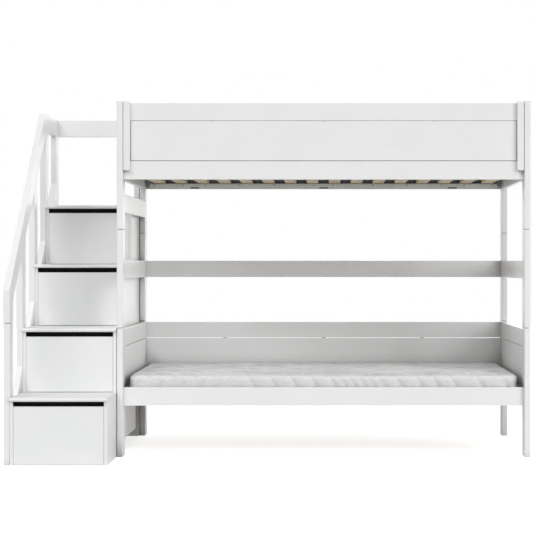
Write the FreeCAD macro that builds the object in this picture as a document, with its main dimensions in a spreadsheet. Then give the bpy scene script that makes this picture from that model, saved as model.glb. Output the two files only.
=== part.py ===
import FreeCAD, Part
import math
import os
import re
import Sketcher
from FreeCAD import Placement, Rotation, Vector

# Bunk bed with a drawer stair, as a parametric assembly.
# X runs along the bed with the stair at the low end, Y runs from the front to the wall, Z is up.
# The origin is the middle of the footprint on the floor. All lengths are millimetres.

SIZES = [
    ("mattress_length", 1950, "mattress, which the bed is built around"),
    ("mattress_width", 890, "mattress, which the bed is built around"),
    ("mattress_height", 110, "mattress at its crown"),
    ("mattress_end_gap", 30, "mattress end to bed end"),
    ("mattress_side_gap", 7.5, "mattress side to side board"),
    ("post_thick", 30, "bed post along X"),
    ("post_depth", 85, "bed post along Y"),
    ("post_low", 645, "height of the lower post pieces"),
    ("post_middle", 494, "height of the middle post pieces"),
    ("post_high", 644, "height of the upper post pieces"),
    ("joint_bevel", 1.5, "bevel at both ends of a post piece"),
    ("joint_groove", 1.5, "half of the open line between two post pieces"),
    ("joint_inset", 6, "depth of that line"),
    ("edge_bevel", 2.5, "bevel along the edges of posts, slats and ledgers"),
    ("edge_round", 1.5, "rounding along the edges of boards and rails"),
    ("board_thick", 21, "front and back boards"),
    ("board_inset", 19, "front and back boards, set in from the post face"),
    ("end_thick", 22, "boards of the bed ends"),
    ("rail_height", 92, "side rails and cross boards"),
    ("panel_height", 198, "infill board of a framed side"),
    ("top_board_height", 88, "top board of a framed side"),
    ("groove", 2.5, "open joint around an infill board"),
    ("lower_rail_low", 255, "underside of the lower rails"),
    ("guard_drop", 10, "top of the guards below the post top"),
    ("middle_low", 892, "underside of the middle cross boards"),
    ("support_low", 1228, "underside of the board that carries the stair top"),
    ("batten_width", 33, "end battens of the front guard"),
    ("batten_proud", 18, "battens in front of the guard boards"),
    ("batten_gap", 2, "batten to post"),
    ("batten_drop", 3, "batten below the post top"),
    ("batten_lap", 47, "batten down over the upper rail"),
    ("entry_post_width", 60, "stile beside the way in"),
    ("spacer_length", 22, "spacers in the grooves"),
    ("spacer_thick", 12, "spacers in the grooves"),
    ("spacer_pitch", 558, "spacers along the bed"),
    ("spacer_end_pitch", 230, "spacers along the bed ends"),
    ("ledger_lift", 10, "slat ledgers above the underside of their rails"),
    ("ledger_height", 22, "slat ledgers"),
    ("ledger_thick", 20, "slat ledgers"),
    ("ledger_end_gap", 24, "ledger end to post"),
    ("slat_count", 16, "slats of one bed"),
    ("slat_width", 64, "slat along X"),
    ("slat_thick", 18, "slat"),
    ("slat_margin", 50.5, "first slat to post"),
    ("slat_gap", 3, "slat end to side board"),
    ("mattress_corner", 36, "corner radius seen from above"),
    ("mattress_edge", 16, "edge rounding"),
    ("mattress_waist", 4, "how far the sides draw in at mid height"),
    ("mattress_crown", 5, "rise of the top above its edge"),
    ("mattress_reach", 260, "how far in from the edge the crown builds up"),
    ("mattress_clear", 0.3, "mattress above the slats"),
    ("bolt_diameter", 6, "rail bolts"),
    ("bolt_length", 70, "rail bolts under the head"),
    ("bolt_head", 14, "head diameter"),
    ("bolt_head_thick", 2, "head"),
    ("bolt_clear", 0.4, "bolt in its bore"),
    ("tenon_thick", 10, "loose tenons between stacked post pieces"),
    ("tenon_width", 45, "loose tenons between stacked post pieces"),
    ("tenon_length", 80, "loose tenons between stacked post pieces"),
    ("tenon_clear", 0.3, "tenon in its mortise"),
    ("stair_width", 498, "stair with its balustrade"),
    ("stair_gap", 2, "stair to bed"),
    ("bed_offset", 300, "bed posts behind the stair front"),
    ("step_run", 300, "one step back"),
    ("riser", 320, "one step up"),
    ("first_rise", 324, "top of the first tread"),
    ("tread_thick", 18, "tread"),
    ("tread_overhang", 18, "tread nose in front of its drawer"),
    ("nose_round", 8, "rounding of the tread nose"),
    ("panel_thick", 16, "stair sides and back"),
    ("toe_margin", 34, "floor edge of the stair sides behind the lowest drawer"),
    ("toe_rise", 60, "lifted lower edge of the stair sides"),
    ("notch_depth", 144, "rear cut in the lower edge of the bed side"),
    ("slot_height", 24, "finger slot above a drawer front"),
    ("slot_rail_height", 34, "dark rail behind the finger slot"),
    ("slot_rail_inset", 46, "dark rail behind the drawer front face"),
    ("slot_cheek", 2, "dark lining at each end of a finger slot"),
    ("slot_cheek_lift", 1, "lining above the drawer front"),
    ("front_thick", 16, "drawer front"),
    ("front_round", 2, "drawer front edges"),
    ("front_side_gap", 1.5, "drawer front to stair side"),
    ("front_gap", 2, "drawer front above the tread below it"),
    ("floor_gap", 4, "lowest drawer front above the floor"),
    ("drawer_depth", 540, "drawer box of the two lower drawers"),
    ("drawer_back_gap", 18, "upper drawer boxes to the back panel"),
    ("box_top_gap", 25, "drawer box below the slot rail"),
    ("box_wall", 12, "drawer box sides and back"),
    ("box_gap", 3, "drawer box to stair side"),
    ("box_floor", 6, "drawer bottom"),
    ("box_floor_lift", 8, "drawer bottom above the lower edge of the sides"),
    ("runner_width", 13, "drawer runner"),
    ("runner_height", 14, "drawer runner"),
    ("runner_lift", 14, "runner above the lower edge of the drawer front"),
    ("runner_start", 6, "runner behind the drawer front"),
    ("slide_gap", 0.3, "drawer box above its runners"),
    ("rail_thick", 30, "balustrade timber along X"),
    ("rail_width", 92, "balustrade boards"),
    ("baluster_depth", 80, "balusters and front post along Y"),
    ("baluster_lead", 8, "balusters in front of the riser behind them"),
    ("mitre_seat", 25, "last baluster in front of the mitre"),
    ("neck_height", 25, "joint in the front post below the handrail"),
    ("handrail_round", 22, "rounded front corner of the handrail"),
    ("rail_rise", 494, "top of the level rails of the balustrade above the top tread"),
]

FORMULAS = {
    "bed_length": "mattress_length + 2 * mattress_end_gap + 2 * post_thick",
    "bed_depth": "mattress_width + 2 * (mattress_side_gap + board_thick + board_inset)",
    "total_length": "stair_width + stair_gap + bed_length + bolt_head_thick",
    "total_depth": "tread_overhang + bed_offset + bed_depth",
    "stair_left": "-total_length / 2",
    "stair_right": "stair_left + stair_width",
    "stair_front": "tread_overhang - total_depth / 2",
    "bed_left": "stair_right + stair_gap",
    "bed_right": "bed_left + bed_length",
    "bed_middle": "bed_left + bed_length / 2",
    "bed_front": "stair_front + bed_offset",
    "bed_back": "bed_front + bed_depth",
    "inner_left": "bed_left + post_thick",
    "inner_right": "bed_right - post_thick",
    "inner_length": "bed_length - 2 * post_thick",
    "end_front": "bed_front + post_depth",
    "end_length": "bed_depth - 2 * post_depth",
    "end_middle": "bed_front + bed_depth / 2",
    "front_board": "bed_front + board_inset",
    "back_board": "bed_back - board_inset - board_thick",
    "front_inside": "front_board + board_thick",
    "left_board": "inner_left - end_thick",
    "right_board": "inner_right",
    "low_joint": "post_low",
    "high_joint": "post_low + post_middle",
    "post_top": "post_low + post_middle + post_high",
    "panel_base": "rail_height + groove",
    "top_board_base": "panel_base + panel_height + groove",
    "upper_rail_low": "post_top - guard_drop - top_board_height - top_board_base",
    "batten_low": "upper_rail_low + rail_height - batten_lap",
    "guard_inset": "batten_gap + batten_width + groove",
    "entry_front": "stair_front + 3 * step_run - tread_overhang - entry_post_width",
    "entry_length": "entry_front - end_front",
    "slat_pitch": "(inner_length - 2 * slat_margin - slat_width) / (slat_count - 1)",
    "slope": "riser / step_run",
    "sloped_rise": "rail_width * sqrt(1 + slope * slope)",
    "rail_top": "first_rise + 3 * riser + rail_rise",
    "rail_under": "rail_top - rail_width",
    "last_baluster": "3 * step_run - baluster_lead",
    "mitre_under": "last_baluster + mitre_seat",
    "handrail_start": "rail_under + sloped_rise - mitre_under * slope",
    "mitre_top": "(rail_top - handrail_start) / slope",
    "front_post_low": "handrail_start - sloped_rise - neck_height",
    "carcass_left": "stair_left + rail_thick",
    "carcass_width": "stair_width - rail_thick",
    "bay_left": "carcass_left + panel_thick",
    "bay_right": "stair_right - panel_thick",
    "bay_width": "carcass_width - 2 * panel_thick",
    "first_under": "first_rise - tread_thick",
    "back_post_front": "bed_offset + bed_depth - post_depth",
    "back_panel_front": "back_post_front - panel_thick",
    "toe_start": "front_thick + drawer_depth + toe_margin",
    "notch_start": "back_panel_front - notch_depth",
}

STEPS = 4
SIDES = ("left", "right")
ROWS = ("front", "back")

doc = FreeCAD.newDocument("BunkBedWithStairs")
sheet = doc.addObject("Spreadsheet::Sheet", "Sizes")
for line, (alias, size, note) in enumerate(SIZES, start=1):
    sheet.set(f"A{line}", alias)
    sheet.set(f"B{line}", str(size))
    sheet.set(f"C{line}", note)
    sheet.setAlias(f"B{line}", alias)
doc.recompute()

ALIASES = {alias for alias, size, note in SIZES}
nodes = []


def expand(text):
    """Write a formula out in cells of the sheet."""
    def swap(match):
        word = match.group(0)
        if word in FORMULAS:
            return "(" + expand(FORMULAS[word]) + ")"
        if word in ALIASES:
            return "Sizes." + word
        return word
    return re.sub(r"[a-z_]+", swap, text)


def value(text):
    return float(sheet.evalExpression(expand(text)))


def bind(thing, **formulas):
    for name, text in formulas.items():
        thing.setExpression(name, expand(text))


def place(thing, corner):
    for axis, text in zip("xyz", corner):
        thing.setExpression("Placement.Base." + axis, expand(text))


def node(thing, label):
    """Register a finished sub-part under the name that its file gets."""
    thing.Label = label
    nodes.append(thing)
    return thing


def group(name, members):
    bundle = doc.addObject("Part::Compound", name)
    bundle.Links = members
    return bundle


def cut(name, base, tool):
    result = doc.addObject("Part::Cut", name)
    result.Base = base
    result.Tool = tool
    return result


def long_edges(axis):
    """Names of the four edges of a block that run along one axis."""
    found = []
    for index, edge in enumerate(Part.makeBox(1, 1, 1).Edges, start=1):
        run = edge.Vertexes[1].Point - edge.Vertexes[0].Point
        if abs(run["XYZ".index(axis)]) > 0.5:
            found.append(f"Edge{index}")
    return found


def timber(name, axis, size, corner, rounding="edge_round"):
    """A planed board with its four long edges rounded, or bevelled where the size named is a bevel."""
    body = doc.addObject("PartDesign::Body", name)
    blank = body.newObject("PartDesign::AdditiveBox", name + "_block")
    bind(blank, Length=size[0], Width=size[1], Height=size[2])
    bevelled = rounding == "edge_bevel"
    edges = body.newObject("PartDesign::Chamfer" if bevelled else "PartDesign::Fillet", name + "_edges")
    edges.Base = (blank, long_edges(axis))
    edges.setExpression("Size" if bevelled else "Radius", expand(rounding))
    place(body, corner)
    return body


def block(name, size, corner):
    box = doc.addObject("Part::Box", name)
    bind(box, Length=size[0], Width=size[1], Height=size[2])
    place(box, corner)
    return box


def rod(name, radius, length, start):
    """A cylinder from its start point along X."""
    round_bar = doc.addObject("Part::Cylinder", name)
    bind(round_bar, Radius=radius, Height=length)
    round_bar.Placement = Placement(Vector(), Rotation(Vector(0, 1, 0), 90))
    place(round_bar, start)
    return round_bar


def profile(name, plane, points, thickness, corner):
    """A board cut to an outline. The points are formulas, measured from the outline's own corner."""
    body = doc.addObject("PartDesign::Body", name)
    sketch = body.newObject("Sketcher::SketchObject", name + "_outline")
    support = [item for item in body.Origin.OriginFeatures if item.Role == plane][0]
    sketch.AttachmentSupport = [(support, "")]
    sketch.MapMode = "FlatFace"
    spots = [Vector(value(across), value(up), 0) for across, up in points]
    last = len(spots) - 1
    for index, spot in enumerate(spots):
        following = spots[0 if index == last else index + 1]
        sketch.addGeometry(Part.LineSegment(spot, following), False)
    for index in range(len(spots)):
        following = 0 if index == last else index + 1
        sketch.addConstraint(Sketcher.Constraint("Coincident", index, 2, following, 1))
    for index, pair in enumerate(points):
        for kind, text, axis in (("DistanceX", pair[0], -2), ("DistanceY", pair[1], -1)):
            if text == "0":
                sketch.addConstraint(Sketcher.Constraint("PointOnObject", index, 1, axis))
                continue
            number = sketch.addConstraint(Sketcher.Constraint(kind, -1, 1, index, 1, value(text)))
            sketch.setExpression(f"Constraints[{number}]", expand(text))
    pad = body.newObject("PartDesign::Pad", name + "_pad")
    pad.Profile = sketch
    bind(pad, Length=thickness)
    place(body, corner)
    return body


def round_edges(body, wanted, radius):
    """Round the edges of a finished body that a test picks out, in the body's own frame."""
    base = body.Tip
    picked = []
    for index, edge in enumerate(base.Shape.Edges, start=1):
        ends = [vertex.Point for vertex in edge.Vertexes]
        if len(ends) == 2 and wanted(ends[0], ends[1]):
            picked.append(f"Edge{index}")
    rounding = body.newObject("PartDesign::Fillet", body.Name + "_rounding")
    rounding.Base = (base, picked)
    bind(rounding, Radius=radius)


def bevel_ends(body):
    """Bevel the level ends of a post piece, where the next piece meets it."""
    base = body.Tip
    ends = []
    for index, face in enumerate(base.Shape.Faces, start=1):
        if abs(face.normalAt(0, 0).z) > 0.99:
            ends.append(f"Face{index}")
    bevel = body.newObject("PartDesign::Chamfer", body.Name + "_bevel")
    bevel.Base = (base, ends)
    bind(bevel, Size="joint_bevel")


def joint_land(body, width, depth, low, high):
    """Add the land on which post pieces meet. It is set in, so that the joint shows as a dark line."""
    land = body.newObject("PartDesign::AdditiveBox", body.Name + "_land")
    bind(land, Length=f"{width} - 2 * joint_inset", Width=f"{depth} - 2 * joint_inset",
         Height=f"({high}) - ({low})")
    place(land, ("joint_inset", "joint_inset", low))


# Bolts, loose tenons and the holes that they sit in

BOLTED_RAILS = {
    "lower_front": ("front_board", "lower_rail_low"),
    "upper_front": ("front_board", "upper_rail_low"),
    "lower_back": ("back_board", "lower_rail_low"),
    "upper_back": ("back_board", "upper_rail_low"),
}


def bolt(name, across, height, side):
    """A flat-headed bolt through a post into the end of a rail, and the bore for it."""
    if side == "left":
        shank_start, head_start = "bed_left", "bed_left - bolt_head_thick"
        bore_start = "bed_left - bolt_clear"
    else:
        shank_start, head_start = "bed_right - bolt_length", "bed_right"
        bore_start = "bed_right - bolt_length - bolt_clear"
    whole = doc.addObject("Part::Fuse", name)
    whole.Base = rod(name + "_shank", "bolt_diameter / 2", "bolt_length", (shank_start, across, height))
    whole.Tool = rod(name + "_head", "bolt_head / 2", "bolt_head_thick", (head_start, across, height))
    bore = rod(name + "_bore", "bolt_diameter / 2 + bolt_clear", "bolt_length + 2 * bolt_clear",
               (bore_start, across, height))
    return whole, bore


def build_bolts():
    """One bolt at each end of the four main rails. Returns the bores by rail."""
    bolts = []
    bores = {}
    for rail, (across, low) in BOLTED_RAILS.items():
        bores[rail] = []
        for side in SIDES:
            whole, bore = bolt(f"{rail}_{side}_bolt", across + " + board_thick / 2",
                               low + " + rail_height / 2", side)
            bolts.append(whole)
            bores[rail].append(bore)
    node(group("bolts", bolts), "bed_bolts")
    return bores


POST_X = {"left": "bed_left", "right": "inner_right"}
POST_Y = {"front": "bed_front", "back": "bed_back - post_depth"}


def build_tenons():
    """A loose tenon in each post joint. Returns the mortises by level."""
    tenons = []
    mortises = {"low": [], "high": []}
    for level, cuts in mortises.items():
        for row in ROWS:
            for side in SIDES:
                name = f"{row}_{side}_{level}_tenon"
                middle = (POST_X[side] + " + post_thick / 2", POST_Y[row] + " + post_depth / 2",
                          level + "_joint")
                size = ("tenon_thick", "tenon_width", "tenon_length")
                wide = [text + " + 2 * tenon_clear" for text in size]
                tenons.append(block(name, size, [f"{at} - ({span}) / 2" for at, span in zip(middle, size)]))
                cuts.append(block(name + "_mortise", wide,
                                  [f"{at} - ({span}) / 2" for at, span in zip(middle, wide)]))
    node(group("tenons", tenons), "post_tenons")
    return mortises


# Bed frame

POST_PIECES = {
    "lower": ("0", "post_low", "", "low"),
    "middle": ("low_joint", "post_middle", "low", "high"),
    "upper": ("high_joint", "post_high", "high", ""),
}


def build_posts(bores, mortises):
    """Four posts, each of three pieces stacked on loose tenons."""
    for row in ROWS:
        for piece, (foot, height, below, above) in POST_PIECES.items():
            levels = [level for level in (below, above) if level]
            holes = [hole for level in levels for hole in mortises[level]]
            start = foot + " + joint_groove" if below else foot
            length = f"{height} - {len(levels)} * joint_groove"
            holes += bores.get(f"{piece}_{row}", [])
            tool = group(f"{row}_{piece}_post_holes", holes)
            for side in SIDES:
                label = f"{row}_{side}_post_{piece}"
                body = timber(label + "_blank", "Z", ("post_thick", "post_depth", length),
                              (POST_X[side], POST_Y[row], start), "edge_bevel")
                body.recompute(True)
                bevel_ends(body)
                joint_land(body, "post_thick", "post_depth", "-joint_groove" if below else "joint_groove",
                           length + (" + joint_groove" if above else " - joint_groove"))
                node(cut(label + "_bored", body, tool), label)


def board(name, axis, start, length, across, thick, low, height):
    """A level board along X or Y."""
    if axis == "X":
        return timber(name, axis, (length, thick, height), (start, across, low))
    return timber(name, axis, (thick, length, height), (across, start, low))


def framed_side(name, axis, start, length, across, thick, low, panel_inset="0"):
    """Rail, infill board and top board, with an open groove between them."""
    rail = board(name + "_rail_board", axis, start, length, across, thick, low, "rail_height")
    panel = board(name + "_panel_board", axis, f"{start} + {panel_inset}",
                  f"{length} - 2 * ({panel_inset})", across, thick, f"{low} + panel_base", "panel_height")
    top = board(name + "_top_board", axis, start, length, across, thick, f"{low} + top_board_base",
                "top_board_height")
    return rail, panel, top


def build_sides(bores):
    """The long sides: an open front below, framed sides at the back and a framed guard in front."""
    drills = {row: group(row + "_bores", members) for row, members in bores.items()}

    rail = board("lower_front", "X", "inner_left", "inner_length", "front_board", "board_thick",
                 "lower_rail_low", "rail_height")
    node(cut("lower_front_bored", rail, drills["lower_front"]), "lower_front_rail")

    for level in ("lower", "upper"):
        row = level + "_back"
        rail, panel, top = framed_side(row, "X", "inner_left", "inner_length", "back_board",
                                       "board_thick", level + "_rail_low", "groove")
        label = "lower_back_side" if level == "lower" else "upper_back_guard"
        node(group(row + "_boards", [cut(row + "_rail_bored", rail, drills[row]), panel, top]), label)

    rail, panel, top = framed_side("upper_front", "X", "inner_left", "inner_length", "front_board",
                                   "board_thick", "upper_rail_low", "guard_inset")
    node(cut("upper_front_rail_bored", rail, drills["upper_front"]), "upper_front_rail")
    node(panel, "front_guard_panel")
    node(top, "front_guard_top_board")

    middle = board("middle_back", "X", "inner_left", "inner_length", "back_board", "board_thick",
                   "middle_low", "rail_height")
    node(middle, "middle_back_board")


def build_battens():
    """Upright battens that tie the ends of the front guard, each with a tongue beside the infill board."""
    starts = {"left": "inner_left + batten_gap", "right": "inner_right - batten_gap - batten_width"}
    tongue_shift = {"left": "-batten_gap", "right": "0"}
    battens = []
    for side in SIDES:
        batten = timber(f"{side}_batten", "Z",
                        ("batten_width", "batten_proud", "post_top - batten_drop - batten_low"),
                        (starts[side], "front_board - batten_proud", "batten_low"))
        tongue = batten.newObject("PartDesign::AdditiveBox", f"{side}_batten_tongue")
        bind(tongue, Length="batten_width + batten_gap", Width="board_thick", Height="panel_height")
        place(tongue, (tongue_shift[side], "batten_proud", "upper_rail_low + panel_base - batten_low"))
        battens.append(batten)
    node(group("battens", battens), "front_guard_battens")


def build_ends():
    """The short sides, between the front and back posts."""
    for side in SIDES:
        across = side + "_board"
        lower = framed_side(f"lower_{side}", "Y", "end_front", "end_length", across, "end_thick",
                            "lower_rail_low")
        node(group(f"lower_{side}_boards", lower), f"lower_{side}_end")
        middle = board(f"middle_{side}", "Y", "end_front", "end_length", across, "end_thick",
                       "middle_low", "rail_height")
        node(middle, f"middle_{side}_board")

    support = board("support", "Y", "end_front", "end_length", "left_board", "end_thick", "support_low",
                    "rail_height")
    node(support, "stair_support_board")

    upper = framed_side("upper_right", "Y", "end_front", "end_length", "right_board", "end_thick",
                        "upper_rail_low")
    node(group("upper_right_boards", upper), "upper_right_end")

    rail = board("upper_left", "Y", "end_front", "end_length", "left_board", "end_thick",
                 "upper_rail_low", "rail_height")
    node(rail, "upper_left_rail")
    panel = board("entry_panel", "Y", "end_front", "entry_length", "left_board", "end_thick",
                  "upper_rail_low + panel_base", "panel_height")
    top = board("entry_top", "Y", "end_front", "entry_length", "left_board", "end_thick",
                "upper_rail_low + top_board_base", "top_board_height")
    stile = timber("entry_stile", "Z",
                   ("end_thick", "entry_post_width", "top_board_base + top_board_height - rail_height"),
                   ("left_board", "entry_front", "upper_rail_low + rail_height"))
    node(group("entry_boards", [panel, top, stile]), "entry_guard")


def build_spacers():
    """Small blocks that hold the infill boards in their grooves."""
    spacers = []

    def level_spacers(name, axis, middles, across, thick, base):
        edge = f"{across} + ({thick} - spacer_thick) / 2"
        for joint, height in (("low", "rail_height"), ("high", "panel_base + panel_height")):
            for count, middle in enumerate(middles, start=1):
                start = f"{middle} - spacer_length / 2"
                low = f"{base} + {height}"
                if axis == "X":
                    size, corner = ("spacer_length", "spacer_thick", "groove"), (start, edge, low)
                else:
                    size, corner = ("spacer_thick", "spacer_length", "groove"), (edge, start, low)
                spacers.append(block(f"{name}_{joint}_spacer_{count}", size, corner))

    def end_spacers(name, base):
        edge = "back_board + (board_thick - spacer_thick) / 2"
        middle = f"{base} + panel_base + panel_height / 2 - spacer_length / 2"
        for side, start in (("left", "inner_left"), ("right", "inner_right - groove")):
            spacers.append(block(f"{name}_{side}_spacer", ("groove", "spacer_thick", "spacer_length"),
                                 (start, edge, middle)))

    along = ["bed_middle - spacer_pitch", "bed_middle", "bed_middle + spacer_pitch"]
    ends = ["end_middle - spacer_end_pitch", "end_middle + spacer_end_pitch"]
    entry = ["end_front + entry_length / 4", "end_front + 3 * entry_length / 4"]
    level_spacers("front_guard", "X", along, "front_board", "board_thick", "upper_rail_low")
    for level in ("lower", "upper"):
        level_spacers(level + "_back", "X", along, "back_board", "board_thick", level + "_rail_low")
        end_spacers(level + "_back", level + "_rail_low")
    for side in SIDES:
        level_spacers("lower_" + side, "Y", ends, side + "_board", "end_thick", "lower_rail_low")
    level_spacers("upper_right", "Y", ends, "right_board", "end_thick", "upper_rail_low")
    level_spacers("entry", "Y", entry, "left_board", "end_thick", "upper_rail_low")
    node(group("spacers", spacers), "panel_spacers")


def build_slats():
    ledgers = []
    for level in ("lower", "upper"):
        base = level + "_rail_low"
        for row, across in (("front", "front_inside"), ("back", "back_board - ledger_thick")):
            size = ("inner_length - 2 * ledger_end_gap", "ledger_thick", "ledger_height")
            ledgers.append(timber(f"{level}_{row}_ledger", "X", size,
                                  ("inner_left + ledger_end_gap", across, base + " + ledger_lift"),
                                  "edge_bevel"))
        slats = []
        for count in range(int(value("slat_count"))):
            start = f"inner_left + slat_margin + {count} * slat_pitch"
            size = ("slat_width", "back_board - front_inside - 2 * slat_gap", "slat_thick")
            slats.append(timber(f"{level}_slat_{count + 1}", "Y", size,
                                (start, "front_inside + slat_gap",
                                 base + " + ledger_lift + ledger_height"),
                                "edge_bevel"))
        node(group(level + "_slat_set", slats), level + "_slats")
    node(group("ledgers", ledgers), "slat_ledgers")


# Mattresses

CORNER_FACETS = 6


def rounded_rectangle(length, width, radius, height):
    """A closed level outline whose corners turn in short straight facets."""
    far, deep = length / 2 - radius, width / 2 - radius
    spots = []
    for across, back, turn in ((far, deep, 0), (-far, deep, 90), (-far, -deep, 180), (far, -deep, 270)):
        for facet in range(CORNER_FACETS + 1):
            reach = math.radians(turn + 90 * facet / CORNER_FACETS)
            spots.append(Vector(across + radius * math.cos(reach), back + radius * math.sin(reach), height))
    return Part.makePolygon(spots + spots[:1])


def mattress_sections():
    """Heights and insets from the underside up: round edge, drawn-in side, round edge, crown."""
    edge = value("mattress_edge")
    shoulder = value("mattress_height - mattress_crown")
    sections = []
    for angle in (0, 30, 60, 90):
        turn = math.radians(angle)
        sections.append((edge * (1 - math.cos(turn)), edge * (1 - math.sin(turn))))
    upper = [(shoulder - height, inset) for height, inset in reversed(sections)]
    sections.append((shoulder / 2, value("mattress_waist")))
    sections += upper
    for share in (0.3, 0.6, 1.0):
        rise = value("mattress_crown") * (1 - (1 - share) ** 2)
        sections.append((shoulder + rise, edge + share * value("mattress_reach")))
    return sections


def build_mattress(level):
    length, width = value("mattress_length"), value("mattress_width")
    radius = value("mattress_corner")
    rings = []
    for height, inset in mattress_sections():
        rings.append(rounded_rectangle(length - 2 * inset, width - 2 * inset, radius, height))
    pad = doc.addObject("Part::Feature", level + "_mattress_form")
    pad.Shape = Part.makeLoft(rings, True, True)
    bed_surface = value(level + "_rail_low + ledger_lift + ledger_height + slat_thick + mattress_clear")
    pad.Placement = Placement(Vector(value("bed_middle"), value("end_middle"), bed_surface), Rotation())
    node(pad, level + "_mattress")


# Stair carcass, treads and drawers. Depths count from the front of the stair.

def step(count):
    return f"{count} * step_run"


def under_tread(count):
    return f"first_under + {count} * riser"


def stair_side(name, across, rear_points):
    """A stepped panel: along the floor, up the back and down the steps."""
    points = [("0", "0"), ("toe_start", "0"), ("toe_start", "toe_rise")] + rear_points
    points.append(("back_panel_front", under_tread(STEPS - 1)))
    for count in reversed(range(1, STEPS)):
        points.append((step(count), under_tread(count)))
        points.append((step(count), under_tread(count - 1)))
    points.append(("0", under_tread(0)))
    return profile(name, "YZ_Plane", points, "panel_thick", (across, "stair_front", "0"))


def build_carcass():
    plain_rear = [("back_panel_front", "toe_rise")]
    cut_rear = [("notch_start", "toe_rise"), ("notch_start", "lower_rail_low"),
                ("back_panel_front", "lower_rail_low")]
    node(stair_side("left_side", "carcass_left", plain_rear), "stair_left_side")
    node(stair_side("right_side", "bay_right", cut_rear), "stair_right_side")
    node(block("back_panel", ("carcass_width", "panel_thick", under_tread(STEPS - 1)),
               ("carcass_left", "stair_front + back_panel_front", "0")), "stair_back_panel")

    rails = []
    for count in range(STEPS):
        face = f"stair_front + {step(count)}"
        rails.append(block(f"slot_rail_{count + 1}", ("bay_width", "panel_thick", "slot_rail_height"),
                           ("bay_left", face + " + slot_rail_inset",
                            under_tread(count) + " - slot_rail_height")))
        for side, across in (("left", "bay_left"), ("right", "bay_right - slot_cheek")):
            rails.append(block(f"slot_{count + 1}_{side}_cheek",
                               ("slot_cheek", "slot_rail_inset", "slot_height - slot_cheek_lift"),
                               (across, face, under_tread(count) + " - slot_height + slot_cheek_lift")))
    node(group("slot_rail_set", rails), "slot_rails")


def build_treads():
    """Three plain treads, and a top tread with a corner cut out for the back post."""
    plain = [("0", "0"), ("carcass_width", "0"), ("carcass_width", "step_run + tread_overhang"),
             ("0", "step_run + tread_overhang")]
    notch = f"back_post_front - {step(STEPS - 1)} + tread_overhang"
    top = [("0", "0"), ("carcass_width", "0"), ("carcass_width", notch),
           ("carcass_width - rail_thick", notch),
           ("carcass_width - rail_thick", notch + " + post_depth"), ("0", notch + " + post_depth")]
    outlines = [plain] * (STEPS - 1) + [top]
    for count, outline in enumerate(outlines):
        body = profile(f"tread_{count + 1}_board", "XY_Plane", outline, "tread_thick",
                       ("carcass_left", f"stair_front + {step(count)} - tread_overhang", under_tread(count)))
        body.recompute(True)
        round_edges(body, lambda start, end: abs(start.y) + abs(end.y) < 0.01 and start.z == end.z,
                    "nose_round")
        node(body, f"tread_{count + 1}")


def build_drawers():
    """Each drawer is a front with a four-piece box behind it, on two fixed runners."""
    runners = []
    for count in range(STEPS):
        name = f"drawer_{count + 1}"
        depth = "drawer_depth"
        if count >= 2:
            depth = f"(back_panel_front - {step(count)} - front_thick - drawer_back_gap)"
        low = "floor_gap" if count == 0 else f"first_rise + {count - 1} * riser + front_gap"
        face = f"stair_front + {step(count)}"
        front = timber(name + "_face", "X",
                       ("bay_width - 2 * front_side_gap", "front_thick",
                        f"{under_tread(count)} - slot_height - ({low})"),
                       ("bay_left + front_side_gap", face, low), "front_round")
        node(front, name + "_front")

        back = face + " + front_thick"
        base = f"{low} + runner_lift + runner_height + slide_gap"
        height = f"{under_tread(count)} - slot_rail_height - box_top_gap - ({base})"
        inside = "bay_width - 2 * box_gap - 2 * box_wall"
        inner = "bay_left + box_gap + box_wall"
        pieces = [
            block(name + "_left_wall", ("box_wall", depth, height),
                  ("bay_left + box_gap", back, base)),
            block(name + "_right_wall", ("box_wall", depth, height),
                  ("bay_right - box_gap - box_wall", back, base)),
            block(name + "_back_wall", (inside, "box_wall", height),
                  (inner, f"{back} + {depth} - box_wall", base)),
            block(name + "_floor", (inside, depth + " - box_wall", "box_floor"),
                  (inner, back, base + " + box_floor_lift")),
        ]
        node(group(name + "_box_pieces", pieces), name + "_box")

        for side, across in (("left", "bay_left"), ("right", "bay_right - runner_width")):
            runners.append(block(f"{name}_{side}_runner",
                                 ("runner_width", depth + " - runner_start", "runner_height"),
                                 (across, back + " + runner_start", low + " + runner_lift")))
    node(group("runner_set", runners), "drawer_runners")


# Balustrade beside the stair and behind its top. Heights follow the slope of the steps.

def handrail_under(depth):
    return f"handrail_start - sloped_rise + ({depth}) * slope"


def string_under(depth):
    """Lower edge of the lower sloped rail, through the inner corners of the steps."""
    return f"first_rise + (({depth}) - step_run) * slope"


def string_top(depth):
    return string_under(depth) + " + sloped_rise"


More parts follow.
